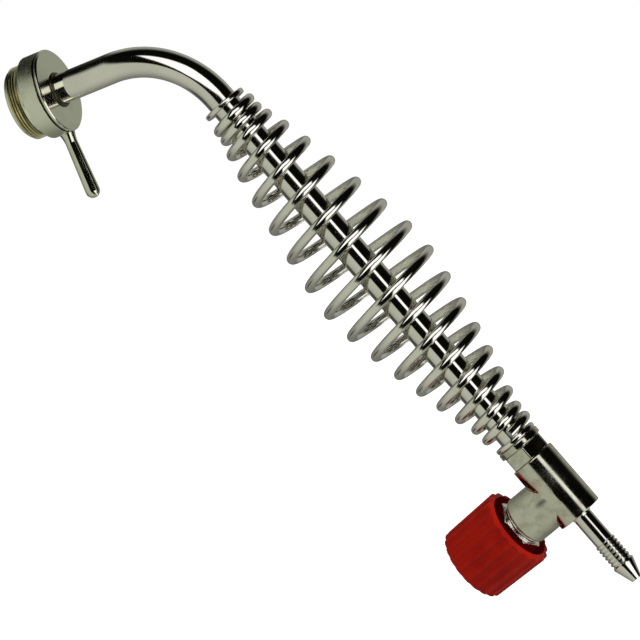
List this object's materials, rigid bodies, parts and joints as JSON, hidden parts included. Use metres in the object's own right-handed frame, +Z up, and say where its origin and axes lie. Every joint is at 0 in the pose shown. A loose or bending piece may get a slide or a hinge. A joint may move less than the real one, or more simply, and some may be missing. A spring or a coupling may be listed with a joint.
{
  "type": "valved gooseneck transfer wand",
  "caption": "Bent plated tube with a screw-in swivel head and its lever, a double-cone coil grip, and a tee valve with a fluted red knob and a barbed hose tail.",
  "frame": {"origin": "middle of the head's threaded wall, on its axis", "axes": "X runs along the head's axis, from the threaded front to the flange's polished face; the tube bends down in the XZ plane, so +Z is up when the head is screwed in level and the handle hangs"},
  "size_m": [0.1593, 0.0493, 0.2753],
  "materials": {
    "plated_head": "polished",
    "plated_lever": "polished",
    "bush_brass": "satin",
    "ring_steel": "satin",
    "washer_plastic": "matte",
    "nipple_brass": "satin",
    "seal_rubber": "matte",
    "plated_tube": "polished",
    "plated_ring": "polished",
    "plated_wire": "polished",
    "plated_connector": "polished",
    "seal_fibre": "matte",
    "plated_body": "polished",
    "seat_brass": "satin",
    "plated_bonnet": "polished",
    "plated_gland": "polished",
    "plated_tail": "polished",
    "spindle_brass": "satin",
    "knob_plastic": "gloss",
    "screw_steel": "satin",
    "cap_plastic": "gloss"
  },
  "bodies": {
    "head": {"screw_head": "plated_head", "tommy_bar": "plated_lever", "swivel_bush": "bush_brass", "retaining_ring": "ring_steel"},
    "wand": {"thrust_washer": "washer_plastic", "tube_nipple": "nipple_brass", "face_seal": "seal_rubber", "gooseneck_tube": "plated_tube", "upper_stop_ring": "plated_ring", "coil_grip": "plated_wire", "lower_stop_ring": "plated_ring", "tube_connector": "plated_connector", "connector_seal": "seal_fibre", "valve_body": "plated_body", "valve_seat": "seat_brass", "bonnet": "plated_bonnet", "bonnet_seal": "seal_fibre", "stem_packing": "washer_plastic", "gland_nut": "plated_gland", "hose_tail": "plated_tail", "tail_seal": "seal_rubber"},
    "jumper": {"jumper": "seat_brass", "jumper_pad": "seal_rubber"},
    "knob": {"spindle": "spindle_brass", "control_knob": "knob_plastic", "knob_screw": "screw_steel", "knob_cap": "cap_plastic"}
  },
  "joints": [
    {"name": "head_swivel", "type": "hinge", "parent": "head", "child": "wand", "pos_m": [0, 0, 0], "axis": [1, 0, 0], "continuous": true},
    {"name": "spindle_lift", "type": "slide", "parent": "wand", "child": "jumper", "axis": [-0.9455, 0, -0.3256], "range_m": [0, 0.00187]},
    {"name": "knob_turn", "type": "hinge", "parent": "jumper", "child": "knob", "pos_m": [0.13887, 0, -0.21571], "axis": [-0.9455, 0, -0.3256], "range_deg": [0, 540]}
  ],
  "couplings": [
    {"joint": "knob_turn", "follows": "spindle_lift", "rad_per_m": 5026.5}
  ]
}
